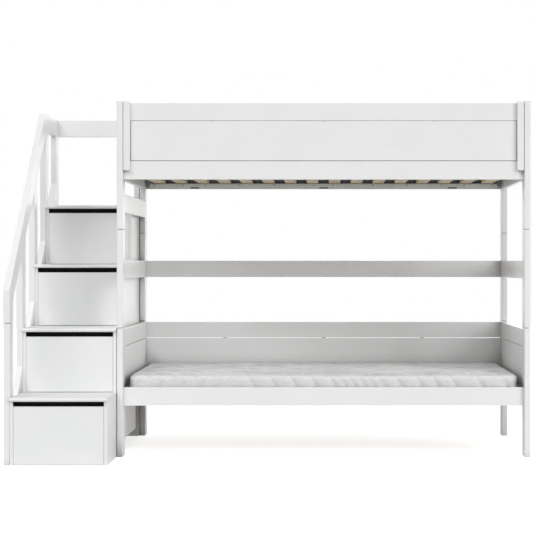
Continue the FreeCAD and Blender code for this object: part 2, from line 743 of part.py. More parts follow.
def build_balustrade():
    corner = ("stair_left", "stair_front", "0")

    def sloped(name, points):
        return profile(name, "YZ_Plane", points, "rail_thick", corner)

    def eased(body):
        """Round the long edges of a board cut to an outline."""
        shortest = value("2 * rail_width")
        body.recompute(True)
        round_edges(body, lambda one, two: abs(one.x - two.x) < 0.01 and one.distanceToPoint(two) > shortest,
                    "edge_round")
        return body

    foot_length = "front_post_low - 2 * joint_groove"
    foot = timber("front_post_foot", "Z", ("rail_thick", "baluster_depth", foot_length), corner, "edge_bevel")
    neck = sloped("front_post_neck", [
        ("0", "front_post_low"), ("baluster_depth", "front_post_low"),
        ("baluster_depth", handrail_under("baluster_depth")), ("0", handrail_under("0"))])
    for piece in (foot, neck):
        piece.recompute(True)
        bevel_ends(piece)
    joint_land(foot, "rail_thick", "baluster_depth", "joint_groove", "front_post_low")
    node(group("front_post", [foot, neck]), "stair_front_post")

    rail = sloped("handrail_board", [
        ("0", handrail_under("0")), ("mitre_under", "rail_under"), ("mitre_top", "rail_top"),
        ("0", "handrail_start")])
    rail.recompute(True)
    start = value("handrail_start")
    round_edges(rail, lambda one, two: abs(one.y) + abs(two.y) < 0.01
                and abs(one.z - start) + abs(two.z - start) < 0.01, "handrail_round")
    node(eased(rail), "handrail")

    back = "back_post_front + post_depth"
    node(eased(sloped("level_rail", [
        ("mitre_under", "rail_under"), (back, "rail_under"), (back, "rail_top"),
        ("mitre_top", "rail_top")])), "top_side_rail")
    front = "baluster_depth"
    node(eased(sloped("string_board", [
        (front, string_under(front)), ("back_post_front", string_under("back_post_front")),
        ("back_post_front", string_top("back_post_front")), (front, string_top(front))])),
        "lower_sloped_rail")

    balusters = []
    for count in (1, 2, 3):
        near = step(count) + " - baluster_lead"
        far = near + " + baluster_depth"
        if count < 3:
            head = [(far, handrail_under(far)), (near, handrail_under(near))]
        else:
            head = [(far, "rail_under"), ("mitre_under", "rail_under"), (near, handrail_under(near))]
        foot = [(near, string_top(near)), (far, string_top(far))]
        balusters.append(eased(sloped(f"baluster_{count}", foot + head)))
    node(group("baluster_set", balusters), "balusters")

    behind = "stair_front + back_post_front"
    left = timber("back_left", "Z", ("rail_thick", "post_depth", "rail_under"),
                  ("stair_left", behind, "0"), "edge_bevel")
    right = timber("back_right", "Z", ("rail_thick", "post_depth", "rail_top"),
                   ("stair_right - rail_thick", behind, "0"), "edge_bevel")
    node(group("back_posts", [left, right]), "stair_back_posts")
    node(timber("back_rail", "X", ("stair_width - 2 * rail_thick", "rail_thick", "rail_width"),
                ("carcass_left", behind + " + post_depth - rail_thick", "rail_under")), "stair_back_rail")


def check_document():
    """Stop before writing if any object failed or any shape is empty or broken."""
    for item in doc.Objects:
        if {"Invalid", "Error"} & set(item.State):
            raise RuntimeError(f"{item.Label} did not build: {item.State}")
    for item in nodes:
        if item.Shape.isNull() or not item.Shape.isValid() or not item.Shape.Solids:
            raise RuntimeError(f"{item.Label} has no sound shape")


rail_bores = build_bolts()
post_mortises = build_tenons()
build_posts(rail_bores, post_mortises)
build_sides(rail_bores)
build_battens()
build_ends()
build_spacers()
build_slats()
build_mattress("lower")
build_mattress("upper")
build_carcass()
build_treads()
build_drawers()
build_balustrade()
doc.recompute()
check_document()

os.makedirs("parts", exist_ok=True)
for item in nodes:
    item.Shape.exportStep(f"parts/{item.Label}.step")
print(len(nodes), "nodes,", sum(len(item.Shape.Solids) for item in nodes), "solids")
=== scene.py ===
import math

import bmesh
import bpy
import numpy as np
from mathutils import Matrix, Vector
from mathutils.bvhtree import BVHTree


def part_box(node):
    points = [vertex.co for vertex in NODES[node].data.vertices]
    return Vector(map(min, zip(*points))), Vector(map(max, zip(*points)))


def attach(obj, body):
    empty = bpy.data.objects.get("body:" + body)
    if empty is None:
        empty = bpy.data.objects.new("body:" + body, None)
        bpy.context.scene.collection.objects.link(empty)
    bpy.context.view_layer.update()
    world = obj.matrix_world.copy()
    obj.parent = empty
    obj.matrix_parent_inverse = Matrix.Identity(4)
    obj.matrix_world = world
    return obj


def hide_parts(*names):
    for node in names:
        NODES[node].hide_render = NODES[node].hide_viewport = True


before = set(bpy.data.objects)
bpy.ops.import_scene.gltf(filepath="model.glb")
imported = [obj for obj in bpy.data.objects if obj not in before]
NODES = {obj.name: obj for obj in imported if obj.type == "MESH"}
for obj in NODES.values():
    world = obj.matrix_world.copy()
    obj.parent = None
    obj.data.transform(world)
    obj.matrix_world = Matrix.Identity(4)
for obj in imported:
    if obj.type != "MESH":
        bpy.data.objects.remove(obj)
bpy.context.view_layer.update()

# Bunk bed with a drawer stair: finishes, mattresses and small fittings around the CAD solids.
# Metres, in the CAD frame: X along the bed, Y from the front to the wall, Z up.

BED = "bunk_bed"
MM = 0.001
UP = (0, 0, 1)
TINY = 1e-9    # stands in for a length of nought in a division


def corners(node):
    """Lowest and highest corner of a CAD node as arrays."""
    low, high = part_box(node)
    return np.array(low), np.array(high)


# Nodes, colours and scales

def add(tree, kind, settings=None, inputs=None, stops=None):
    """One node with its settings, its inputs set or linked, and its colour stops where it has a ramp."""
    made = tree.nodes.new(kind)
    for name, value in (settings or {}).items():
        setattr(made, name, value)
    for name, value in (inputs or {}).items():
        socket = made.inputs[name]
        if isinstance(value, bpy.types.NodeSocket):
            tree.links.new(value, socket)
        else:
            socket.default_value = value
    if stops:
        points = made.color_ramp.elements
        while len(points) < len(stops):
            points.new(0.5)
        for point, (position, colour) in zip(points, stops):
            point.position = position
            point.color = colour
    return made


def linear(code):
    """An sRGB hex colour as linear RGBA."""
    parts = [int(code[i:i + 2], 16) / 255 for i in (1, 3, 5)]
    return tuple(c / 12.92 if c <= 0.04045 else ((c + 0.055) / 1.055) ** 2.4 for c in parts) + (1.0,)


def grey(value):
    return (value, value, value, 1.0)


def per_mm(size):
    """Texture scale, on coordinates in metres, at which a feature is about this many millimetres across."""
    return 1000.0 / size


def finish_named(name):
    material = bpy.data.materials.new(name)
    material.use_nodes = True
    material.node_tree.nodes.clear()
    return material, material.node_tree


def surface(tree, **given):
    """The shader of a finish, and the material output that it goes to."""
    inputs = {name.replace("_", " "): value for name, value in given.items()}
    shader = add(tree, "ShaderNodeBsdfPrincipled", inputs=inputs)
    add(tree, "ShaderNodeOutputMaterial", inputs={"Surface": shader.outputs[0]})


# Painted shade: the colour is darkened in grooves, joints and pockets by how closely neighbouring faces
# close round them
GAP_REACH = 120 * MM    # neighbours nearer than this darken a gap with painted shade
GAP_CLOSED = 0.08       # share of free sky up to which a gap is closed
GAP_TONE = 0.04         # what is left of the colour there under the painted shade
GAP_OPEN = 0.6          # share of free sky from which a face is open


def shade_painted_in_gaps(tree, colour, open_from=GAP_OPEN):
    """The colour as it is on open faces, and darker in grooves, joints and pockets: shade painted into the
    colour where neighbouring faces close round a point."""
    openness = add(tree, "ShaderNodeAmbientOcclusion", {"samples": 8}, {"Distance": GAP_REACH})
    share = add(tree, "ShaderNodeMapRange", inputs={
        "Value": openness.outputs["AO"], "From Min": GAP_CLOSED, "From Max": open_from,
        "To Min": GAP_TONE, "To Max": 1.0})
    return add(tree, "ShaderNodeMix", {"data_type": "RGBA", "blend_type": "MULTIPLY"},
               {0: 1.0, 6: colour, 7: share.outputs[0]}).outputs[2]


# Sizes of the mattress covers

WELD = 0.01 * MM          # corners of the CAD mesh nearer than this are one point
VOXEL = 12 * MM           # facets of the foam before its cover swells
START_INSET = 2 * MM      # the foam starts smaller by this much all round
CLOTH_FRAMES = 20         # length of the cloth run
SWELL_CAP = 5 * MM        # the cloth run moves no point further than this
BASE_SNAP = START_INSET + 1.5 * MM    # points this near the underside are pressed flat
COVER_CORNER = 36 * MM    # corners seen from above
EDGE_ROUND = 21 * MM      # from the crown down to where the side begins
SIDE_SWELL = 6 * MM       # how far the sides stand out where they are widest
SIDE_TUCK = 10 * MM       # how far the long sides are drawn in at the foot
END_SPREAD = 18 * MM      # how far the ends are let out there, which keeps them upright
CORNER_FADE = 8           # power by which both fade out towards the corners
WIDEST = 0.78             # share of the height at which the sides are widest
COVER_SLACK = 6 * MM      # how far the cover may stand past the foam at the sides
CROWN_SLACK = 4 * MM      # and on top
# Sewn lines in mm from the middle of the bed, read along the front of the mattress. The first and the last
# lie beyond its ends.
LINE_PLACES = [-1010, -900, -780, -665, -577, -489, -383, -277, -171, -71, 30, 81, 126, 181, 222, 272,
               358, 463, 544, 635, 766, 891, 1010]
LINE_SWING = 38 * MM      # how far a line swings to each side
LINE_WAVE = 300 * MM      # one wave of a line across the bed
TURN_PLACE = -430 * MM    # the lines lean one way to the left of this place and the other way to the right
LINE_TURN = 60 * MM       # full swing is reached this far from it
WAVE_START = 75 * MM      # a wave starts this far down the front
LINE_SHARE = 0.035        # half the paler band of painted highlight along a line, as a share of the gap between lines
PUFF = 5 * MM             # height of the cover between two lines over that at a line
PUFF_REACH = 17 * MM      # most of it is reached this far from a line
PUFF_LEVEL = 0.6          # share of it that is taken off all over, which keeps the size
PUFF_FOOT = 20 * MM       # it fades out over this height above the underside
STITCH_PITCH = 8 * MM     # real stitches are about 4 mm, drawn coarser so that they show
STITCH_LENGTH = 5.4 * MM
STITCH_THICK = 1.1 * MM
STITCH_FOOT = 25 * MM     # the stitching stops this far above the underside
STITCH_GAP = 3 * STITCH_PITCH    # no stitch bridges a gap longer than this
CAST_FROM = 0.1           # how far off the cover the search for a stitch's place starts
SETTLE_ROUNDS = 12        # steps that bring a stitch onto its line


# Finishes, with the sizes of their patterns in mm

GRAIN_WIDTH = 7        # across one streak of pine grain
GRAIN_LENGTH = 420     # along it
PINE_CLOUDS = 260      # clouds of tone in the lacquer on pine
BOARD_CLOUDS = 180     # and in that on fibreboard
LACQUER_PEEL = 9       # real spray texture is about 1.5 mm, drawn coarser so that it shows
RING_WIDTH = 9         # across one ring of raw pine
RING_LENGTH = 500      # along it
SLAT_TONE = 140        # over which raw pine changes its tone
KNOT_SPACING = 230
KNIT_LOOP = 7          # real loops are about 2 mm, drawn coarser so that they show
SHADED_HOLLOW = 110     # across one patch of painted shade in the hollows on top of a mattress
PAINT_DARK = "#E5E5E5"
PAINT_LIGHT = "#E7E7E7"


def lacquered_pine(name, axis, tilt=0.0):
    """Opaque satin white lacquer on planed pine. The grain is only just felt: long streaks a shade darker
    and a little sunk, and broad clouds of tone that keep a long board from looking like a flat colour."""
    material, tree = finish_named(name)
    place = add(tree, "ShaderNodeTexCoord").outputs["Object"]
    turned = add(tree, "ShaderNodeMapping", inputs={"Vector": place, "Rotation": (tilt, 0, 0)}).outputs[0]
    stretch = [per_mm(GRAIN_WIDTH)] * 3
    stretch["XYZ".index(axis)] = per_mm(GRAIN_LENGTH)
    along = add(tree, "ShaderNodeMapping", inputs={"Vector": turned, "Scale": stretch}).outputs[0]
    grain = add(tree, "ShaderNodeTexNoise", inputs={
        "Vector": along, "Scale": 1.0, "Detail": 3.0, "Roughness": 0.6, "Distortion": 0.4}).outputs["Fac"]
    clouds = add(tree, "ShaderNodeTexNoise", inputs={
        "Vector": place, "Scale": per_mm(PINE_CLOUDS), "Detail": 2.0}).outputs["Fac"]
    peel = add(tree, "ShaderNodeTexNoise", inputs={
        "Vector": place, "Scale": per_mm(LACQUER_PEEL), "Detail": 2.0}).outputs["Fac"]
    streaks = add(tree, "ShaderNodeValToRGB", inputs={"Fac": grain}, stops=[
        (0.30, linear(PAINT_DARK)), (0.62, linear(PAINT_LIGHT))]).outputs["Color"]
    tone = add(tree, "ShaderNodeValToRGB", inputs={"Fac": clouds}, stops=[
        (0.35, grey(0.98)), (0.65, grey(1.0))]).outputs["Color"]
    colour = add(tree, "ShaderNodeMix", {"data_type": "RGBA", "blend_type": "MULTIPLY"},
                 {0: 1.0, 6: streaks, 7: tone}).outputs[2]
    gloss = add(tree, "ShaderNodeMapRange", inputs={
        "Value": grain, "To Min": 0.40, "To Max": 0.48}).outputs[0]
    sunk = add(tree, "ShaderNodeBump", inputs={"Height": grain, "Strength": 0.05, "Distance": 0.3 * MM})
    skin = add(tree, "ShaderNodeBump", inputs={
        "Height": peel, "Strength": 0.12, "Distance": 0.3 * MM, "Normal": sunk.outputs[0]})
    # the white lacquer gets painted shade in grooves, joints and pockets
    surface(tree, Base_Color=shade_painted_in_gaps(tree, colour), Roughness=gloss, IOR=1.5, Normal=skin.outputs[0])
    return material


def lacquered_board(name):
    """Satin white lacquer on smooth fibreboard: no grain, only the spray's fine skin and slow clouds of
    tone that hardly show."""
    material, tree = finish_named(name)
    place = add(tree, "ShaderNodeTexCoord").outputs["Object"]
    clouds = add(tree, "ShaderNodeTexNoise", inputs={
        "Vector": place, "Scale": per_mm(BOARD_CLOUDS), "Detail": 3.0}).outputs["Fac"]
    peel = add(tree, "ShaderNodeTexNoise", inputs={
        "Vector": place, "Scale": per_mm(LACQUER_PEEL), "Detail": 2.0}).outputs["Fac"]
    colour = add(tree, "ShaderNodeValToRGB", inputs={"Fac": clouds}, stops=[
        (0.30, linear("#E2E3E3")), (0.70, linear("#E5E5E5"))]).outputs["Color"]
    gloss = add(tree, "ShaderNodeMapRange", inputs={
        "Value": clouds, "To Min": 0.38, "To Max": 0.48}).outputs[0]
    skin = add(tree, "ShaderNodeBump", inputs={"Height": peel, "Strength": 0.15, "Distance": 0.3 * MM})
    surface(tree, Base_Color=colour, Roughness=gloss, IOR=1.5, Normal=skin.outputs[0])
    return material


def raw_pine(name, axis):
    """Planed pine, left raw: honey bands of early and late wood along the piece, with a few small knots."""
    material, tree = finish_named(name)
    place = add(tree, "ShaderNodeTexCoord").outputs["Object"]
    stretch = [per_mm(RING_WIDTH)] * 3
    stretch["XYZ".index(axis)] = per_mm(RING_LENGTH)
    along = add(tree, "ShaderNodeMapping", inputs={"Vector": place, "Scale": stretch}).outputs[0]
    rings = add(tree, "ShaderNodeTexNoise", inputs={
        "Vector": along, "Scale": 1.0, "Detail": 5.0, "Roughness": 0.6, "Distortion": 0.8}).outputs["Fac"]
    board_tone = add(tree, "ShaderNodeTexNoise", inputs={
        "Vector": place, "Scale": per_mm(SLAT_TONE), "Detail": 0.0}).outputs["Fac"]
    wood = add(tree, "ShaderNodeValToRGB", inputs={"Fac": rings}, stops=[
        (0.28, linear("#A8906A")), (0.5, linear("#C7B693")), (0.75, linear("#D6C9AC"))]).outputs["Color"]
    knots = add(tree, "ShaderNodeTexVoronoi", inputs={
        "Vector": place, "Scale": per_mm(KNOT_SPACING)}).outputs["Distance"]
    knot_edge = add(tree, "ShaderNodeValToRGB", inputs={"Fac": knots}, stops=[
        (0.02, linear("#6E4A2A")), (0.06, grey(1.0))]).outputs["Color"]
    toned = add(tree, "ShaderNodeValToRGB", inputs={"Fac": board_tone}, stops=[
        (0.3, linear("#E2DCCB")), (0.7, grey(1.0))]).outputs["Color"]
    with_knots = add(tree, "ShaderNodeMix", {"data_type": "RGBA", "blend_type": "MULTIPLY"},
                     {0: 0.8, 6: wood, 7: knot_edge}).outputs[2]
    colour = add(tree, "ShaderNodeMix", {"data_type": "RGBA", "blend_type": "MULTIPLY"},
                 {0: 1.0, 6: with_knots, 7: toned}).outputs[2]
    dull = add(tree, "ShaderNodeMapRange", inputs={
        "Value": rings, "To Min": 0.55, "To Max": 0.75}).outputs[0]
    bump = add(tree, "ShaderNodeBump", inputs={"Height": rings, "Strength": 0.3, "Distance": 0.4 * MM})
    surface(tree, Base_Color=colour, Roughness=dull, IOR=1.5, Normal=bump.outputs[0])
    return material


def mottled(name, dark, light, size, rough, open_from=None, **given):
    """A finish whose tone and gloss wander slightly over a given size in millimetres, so that it catches
    the light unevenly, as a real surface does."""
    material, tree = finish_named(name)
    place = add(tree, "ShaderNodeTexCoord").outputs["Object"]
    spots = add(tree, "ShaderNodeTexNoise", inputs={
        "Vector": place, "Scale": per_mm(size), "Detail": 3.0, "Roughness": 0.6}).outputs["Fac"]
    colour = add(tree, "ShaderNodeValToRGB", inputs={"Fac": spots}, stops=[
        (0.3, linear(dark)), (0.7, linear(light))]).outputs["Color"]
    gloss = add(tree, "ShaderNodeMapRange", inputs={
        "Value": spots, "To Min": rough[0], "To Max": rough[1]}).outputs[0]
    bump = add(tree, "ShaderNodeBump", inputs={"Height": spots, "Strength": 0.2, "Distance": 0.2 * MM})
    # where open_from is given, shade is painted into the colour in gaps
    if open_from:
        colour = shade_painted_in_gaps(tree, colour, open_from)
    surface(tree, Base_Color=colour, Roughness=gloss, Normal=bump.outputs[0], **given)
    return material


def quilted_knit(name):
    """White double-knit mattress cover: small raised loops, a soft sheen, a paler band along each sewn line
    that paints the highlight on its crease, and painted shade that greys the hollows of the quilting on
    faces turned up. The mesh carries the place across the lines, in which whole numbers are the lines."""
    material, tree = finish_named(name)
    place = add(tree, "ShaderNodeTexCoord").outputs["Object"]
    phase = add(tree, "ShaderNodeAttribute", {"attribute_name": "line_phase"}).outputs["Fac"]
    apart = add(tree, "ShaderNodeMath", {"operation": "PINGPONG"}, {0: phase, 1: 0.5}).outputs[0]
    sewn_highlight = add(tree, "ShaderNodeMapRange", {"interpolation_type": "SMOOTHSTEP"}, {
        "Value": apart, "From Min": LINE_SHARE, "From Max": 0.0}).outputs[0]
    loops = add(tree, "ShaderNodeTexVoronoi", inputs={
        "Vector": place, "Scale": per_mm(KNIT_LOOP)}).outputs["Distance"]
    wide = add(tree, "ShaderNodeMapping", inputs={"Vector": place, "Scale": (0.6, 1.0, 1.0)}).outputs[0]
    hollow_shade_noise = add(tree, "ShaderNodeTexNoise", inputs={
        "Vector": wide, "Scale": per_mm(SHADED_HOLLOW), "Detail": 1.0}).outputs["Fac"]
    normal = add(tree, "ShaderNodeNewGeometry").outputs["Normal"]
    facing_up = add(tree, "ShaderNodeSeparateXYZ", inputs={"Vector": normal}).outputs["Z"]
    shaded_on_top = add(tree, "ShaderNodeMapRange", inputs={
        "Value": facing_up, "From Min": 0.7, "From Max": 0.97}).outputs[0]
    yarn = add(tree, "ShaderNodeValToRGB", inputs={"Fac": loops}, stops=[
        (0.1, linear("#DFDFDE")), (0.7, linear("#D2D2D3"))]).outputs["Color"]
    # painted shade: the hollows of the quilting are greyed only on faces turned up
    painted_hollow_shade = add(tree, "ShaderNodeValToRGB", inputs={"Fac": hollow_shade_noise}, stops=[
        (0.34, linear("#D8D8DA")), (0.61, linear("#F1F1F1"))]).outputs["Color"]
    cloth = add(tree, "ShaderNodeMix", {"data_type": "RGBA", "blend_type": "MULTIPLY"},
                {0: shaded_on_top, 6: yarn, 7: painted_hollow_shade}).outputs[2]
    # painted highlight: a paler band along each sewn line stands for the light on its crease
    colour = add(tree, "ShaderNodeMix", {"data_type": "RGBA"},
                 {0: sewn_highlight, 6: cloth, 7: linear("#E6E6E5")}).outputs[2]
    bump = add(tree, "ShaderNodeBump", inputs={"Height": loops, "Strength": 0.25, "Distance": 0.5 * MM})
    surface(tree, Base_Color=colour, Roughness=0.85, IOR=1.45, Sheen_Weight=0.3, Sheen_Roughness=0.5,
            Normal=bump.outputs[0])
    return material


def stair_slope():
    """How steeply the stair climbs, from the lower front corners of its first two treads."""
    along, run, rise = corners("tread_2")[0] - corners("tread_1")[0]
    return math.atan2(rise, run)


PAINT_ALONG = {axis: lacquered_pine("satin_lacquer_on_pine_" + axis.lower(), axis) for axis in "XYZ"}
PAINT_SLOPED = lacquered_pine("satin_lacquer_on_pine_sloped", "Y", -stair_slope())
PAINT_BOARD = lacquered_board("satin_lacquer_on_fibreboard")
PINE = raw_pine("raw_planed_pine", "Y")
PINE_UPRIGHT = raw_pine("raw_planed_pine_upright", "Z")
# Matt paint hardly shines, so the finger slots look deep
BLACK_BOARD = mottled("matt_black_paint_on_fibreboard", "#060607", "#0C0C0D", size=25, rough=(0.6, 0.8),
                      IOR=1.3)
# Pressed melamine is a warm white with a low, even shine
BOX_BOARD = mottled("white_melamine_on_chipboard", "#DEDDD8", "#E6E5E1", size=30, rough=(0.35, 0.45),
                    IOR=1.5)
# Moulded nylon is a bright white with a waxy shine, with painted shade where the boards close round it
NYLON = mottled("moulded_white_nylon", "#E6E6E3", "#F0F0EE", size=6, rough=(0.35, 0.5), open_from=1.0,
                IOR=1.53)
# Zinc plating is a cool, pale grey metal with a slightly uneven gloss
ZINC = mottled("zinc_plated_steel", "#A9ADB2", "#C6C9CC", size=5, rough=(0.28, 0.42), Metallic=1.0)
# Phosphated steel is a dark, dull grey
PHOSPHATE = mottled("phosphated_steel", "#5C5D60", "#707276", size=4, rough=(0.5, 0.65), Metallic=1.0)
COVER = quilted_knit("quilted_double_knit_cover")
# Spun thread is a shade whiter than the knit and without its sheen
THREAD = mottled("white_polyester_thread", "#E0E0DF", "#EBEBEA", size=3, rough=(0.6, 0.75), IOR=1.5)

FINISHES = {
    "X": PAINT_ALONG["X"], "Y": PAINT_ALONG["Y"], "Z": PAINT_ALONG["Z"], "slope": PAINT_SLOPED,
    "board": PAINT_BOARD, "slat": PINE, "tenon": PINE_UPRIGHT, "black": BLACK_BOARD, "box": BOX_BOARD,
    "nylon": NYLON, "zinc": ZINC,
}
FINISH_OF = {
    "lower_front_rail": "X", "lower_back_side": "X", "upper_back_guard": "X", "upper_front_rail": "X",
    "front_guard_panel": "X", "front_guard_top_board": "X", "middle_back_board": "X", "slat_ledgers": "X",
    "stair_back_rail": "X", "front_guard_battens": "Z", "balusters": "Z", "stair_back_posts": "Z",
    "stair_front_post": "Z", "middle_left_board": "Y", "middle_right_board": "Y", "lower_left_end": "Y",
    "lower_right_end": "Y", "stair_support_board": "Y", "upper_right_end": "Y", "upper_left_rail": "Y",
    "entry_guard": "Y", "top_side_rail": "Y", "handrail": "slope", "lower_sloped_rail": "slope",
    "lower_slats": "slat", "upper_slats": "slat", "post_tenons": "tenon", "slot_rails": "black",
    "drawer_runners": "box", "panel_spacers": "nylon", "bed_bolts": "zinc",
}


def finish_of(name):
    """The finish of a CAD node: listed above, or that of a post, a drawer box or a board of the stair."""
    if name in FINISH_OF:
        return FINISHES[FINISH_OF[name]]
    if "_post_" in name:
        return FINISHES["Z"]
    if name.endswith("_box"):
        return FINISHES["box"]
    return FINISHES["board"]


for name, thing in NODES.items():
    for place in thing.material_slots:
        place.material = finish_of(name)


# Making pieces

def link(name, mesh):
    thing = bpy.data.objects.new(name, mesh)
    bpy.context.scene.collection.objects.link(thing)
    return thing


def evaluated_mesh(thing):
    """The mesh that an object's modifiers give, as plain data."""
    bpy.context.view_layer.update()
    depsgraph = bpy.context.evaluated_depsgraph_get()
    return bpy.data.meshes.new_from_object(thing.evaluated_get(depsgraph), depsgraph=depsgraph)


def points_of(mesh):
    spots = np.zeros(len(mesh.vertices) * 3)
    mesh.vertices.foreach_get("co", spots)
    return spots.reshape(-1, 3)


def normals_of(mesh):
    normals = np.zeros(len(mesh.vertices) * 3)
    mesh.vertices.foreach_get("normal", normals)
    return normals.reshape(-1, 3)


def move_points(mesh, spots):
    mesh.vertices.foreach_set("co", np.ascontiguousarray(spots, dtype=np.float32).ravel())
    mesh.update()


def smooth(mesh):
    mesh.polygons.foreach_set("use_smooth", np.ones(len(mesh.polygons), dtype=bool))
    mesh.update()


# Small things repeated by Geometry Nodes: stitches, screws, bolts and clips

def group_inputs(tree, sizes):
    """The group's points, its named sizes with their usual values, and its finish."""
    tree.interface.new_socket("Points", in_out="INPUT", socket_type="NodeSocketGeometry")
    for name, size in sizes.items():
        socket = tree.interface.new_socket(name, in_out="INPUT", socket_type="NodeSocketFloat")
        socket.default_value = size
    tree.interface.new_socket("Finish", in_out="INPUT", socket_type="NodeSocketMaterial")
    tree.interface.new_socket("Pieces", in_out="OUTPUT", socket_type="NodeSocketGeometry")
    return tree.nodes.new("NodeGroupInput").outputs


def stand_on_points(tree, given, shape):
    """Stand a shape on every point, its Z axis along the point's facing and its Y axis along its way."""
    facing = add(tree, "GeometryNodeInputNamedAttribute", {"data_type": "FLOAT_VECTOR"}, {"Name": "facing"})
    way = add(tree, "GeometryNodeInputNamedAttribute", {"data_type": "FLOAT_VECTOR"}, {"Name": "way"})
    faced = add(tree, "FunctionNodeAlignEulerToVector", {"axis": "Z"}, {"Vector": facing.outputs[0]})
    turn = add(tree, "FunctionNodeAlignEulerToVector", {"axis": "Y", "pivot_axis": "Z"}, {
        "Rotation": faced.outputs[0], "Vector": way.outputs[0]})
    stood = add(tree, "GeometryNodeInstanceOnPoints", inputs={
        "Points": given["Points"], "Instance": shape, "Rotation": turn.outputs[0]})
    real = add(tree, "GeometryNodeRealizeInstances", inputs={0: stood.outputs[0]})
    painted = add(tree, "GeometryNodeSetMaterial", inputs={
        "Geometry": real.outputs[0], "Material": given["Finish"]})
    add(tree, "NodeGroupOutput", inputs={0: painted.outputs[0]})


def fastener_tree():
    """A round head with a bevelled rim and a six-sided socket, on a shank that goes into the wood."""
    tree = bpy.data.node_groups.new("fasteners", "GeometryNodeTree")
    given = group_inputs(tree, {
        "Head": 8 * MM, "Rim": 7 * MM, "Height": 1 * MM, "Socket": 4 * MM, "Depth": 0.8 * MM,
        "Shank": 4 * MM, "Length": 16 * MM})
    radius = {}
    for name in ("Head", "Rim", "Socket", "Shank"):
        halved = add(tree, "ShaderNodeMath", {"operation": "MULTIPLY"}, {0: given[name], 1: 0.5})
        radius[name] = halved.outputs[0]
    head = add(tree, "GeometryNodeMeshCone", inputs={
        "Vertices": 24, "Radius Bottom": radius["Head"], "Radius Top": radius["Rim"],
        "Depth": given["Height"]}).outputs["Mesh"]
    socket = add(tree, "GeometryNodeMeshCylinder", inputs={
        "Vertices": 6, "Radius": radius["Socket"], "Depth": given["Depth"]}).outputs["Mesh"]
    top = add(tree, "ShaderNodeCombineXYZ", inputs={"Z": given["Height"]}).outputs[0]
    sunk = add(tree, "GeometryNodeTransform", inputs={"Geometry": socket, "Translation": top}).outputs[0]
    open_head = add(tree, "GeometryNodeMeshBoolean", {"operation": "DIFFERENCE"},
                    {0: head, 1: sunk}).outputs[0]
    shank = add(tree, "GeometryNodeMeshCylinder", inputs={
        "Vertices": 12, "Radius": radius["Shank"], "Depth": given["Length"]}).outputs["Mesh"]
    down = add(tree, "ShaderNodeMath", {"operation": "MULTIPLY"}, {0: given["Length"], 1: -0.5}).outputs[0]
    inside = add(tree, "ShaderNodeCombineXYZ", inputs={"Z": down}).outputs[0]
    set_in = add(tree, "GeometryNodeTransform", inputs={"Geometry": shank, "Translation": inside})
    both = add(tree, "GeometryNodeJoinGeometry")
    for part in (open_head, set_in.outputs[0]):
        tree.links.new(part, both.inputs[0])
    stand_on_points(tree, given, both.outputs[0])
    return tree


def stitch_tree():
    """One stitch: a short spindle of thread along its line."""
    tree = bpy.data.node_groups.new("stitches", "GeometryNodeTree")
    given = group_inputs(tree, {"Length": STITCH_LENGTH, "Thick": STITCH_THICK})
    bead = add(tree, "GeometryNodeMeshUVSphere", inputs={"Segments": 5, "Rings": 3, "Radius": 0.5})
    size = add(tree, "ShaderNodeCombineXYZ", inputs={
        "X": given["Thick"], "Y": given["Length"], "Z": given["Thick"]}).outputs[0]
    drawn = add(tree, "GeometryNodeTransform", inputs={"Geometry": bead.outputs["Mesh"], "Scale": size})
    stand_on_points(tree, given, drawn.outputs[0])
    return tree


def clip_tree():
    """A steel angle under a slat ledger: one leg flat on the rail, the other under the ledger."""
    tree = bpy.data.node_groups.new("ledger_clips", "GeometryNodeTree")
    given = group_inputs(tree, {"Width": 48 * MM, "Plate": 1.6 * MM, "Drop": 7 * MM, "Reach": 17 * MM})
    both = add(tree, "GeometryNodeMeshBoolean", {"operation": "UNION", "solver": "EXACT"})
    for drop, reach in (("Drop", "Plate"), ("Plate", "Reach")):
        size = add(tree, "ShaderNodeCombineXYZ", inputs={
            "X": given["Width"], "Y": given[drop], "Z": given[reach]}).outputs[0]
        place = add(tree, "ShaderNodeVectorMath", {"operation": "MULTIPLY"}, {0: size, 1: (0, -0.5, 0.5)})
        leg = add(tree, "GeometryNodeMeshCube", inputs={"Size": size})
        moved = add(tree, "GeometryNodeTransform", inputs={
            "Geometry": leg.outputs["Mesh"], "Translation": place.outputs[0]})
        tree.links.new(moved.outputs[0], both.inputs[1])
    stand_on_points(tree, given, both.outputs[0])
    return tree


def repeat(name, tree, spots, facings, ways, finish, slot, **sizes):
    """Run a tree on a set of points, keep the result as a plain mesh and let it ride with the bed."""
    points = bpy.data.meshes.new(name + "_points")
    points.from_pydata([tuple(spot) for spot in spots], [], [])
    for attribute, vectors in (("facing", facings), ("way", ways)):
        kept = points.attributes.new(attribute, "FLOAT_VECTOR", "POINT")
        kept.data.foreach_set("vector", np.array(vectors, dtype=np.float32).ravel())
    base = link(name + "_points", points)
    modifier = base.modifiers.new("Repeat", "NODES")
    modifier.node_group = tree
    given = {"Finish": finish, **sizes}
    for item in tree.interface.items_tree:
        if item.in_out == "INPUT" and item.name in given:
            modifier[item.identifier] = given[item.name]
    mesh = evaluated_mesh(base)
    bpy.data.objects.remove(base)
    mesh.name = name
    piece = link(name, mesh)
    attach(piece, BED)
    return piece


# Mattresses: foam swollen inside its cover by a cloth run, then drawn in along the sewn lines

def foam_blank(low, high):
    """The CAD foam block, welded, made a little smaller all round and cut into even facets."""
    foam = NODES["lower_mattress"].data.copy()
    work = bmesh.new()
    work.from_mesh(foam)
    bmesh.ops.remove_doubles(work, verts=work.verts, dist=WELD)
    work.to_mesh(foam)
    work.free()
    centre = (low + high) / 2
    shrink = 1 - 2 * START_INSET / (high - low)
    move_points(foam, centre + (points_of(foam) - centre) * shrink)
    blank = link("foam_at_work", foam)
    remesh = blank.modifiers.new("Remesh", "REMESH")
    remesh.mode = "VOXEL"
    remesh.voxel_size = VOXEL
    facets = evaluated_mesh(blank)
    bpy.data.objects.remove(blank)
    return facets


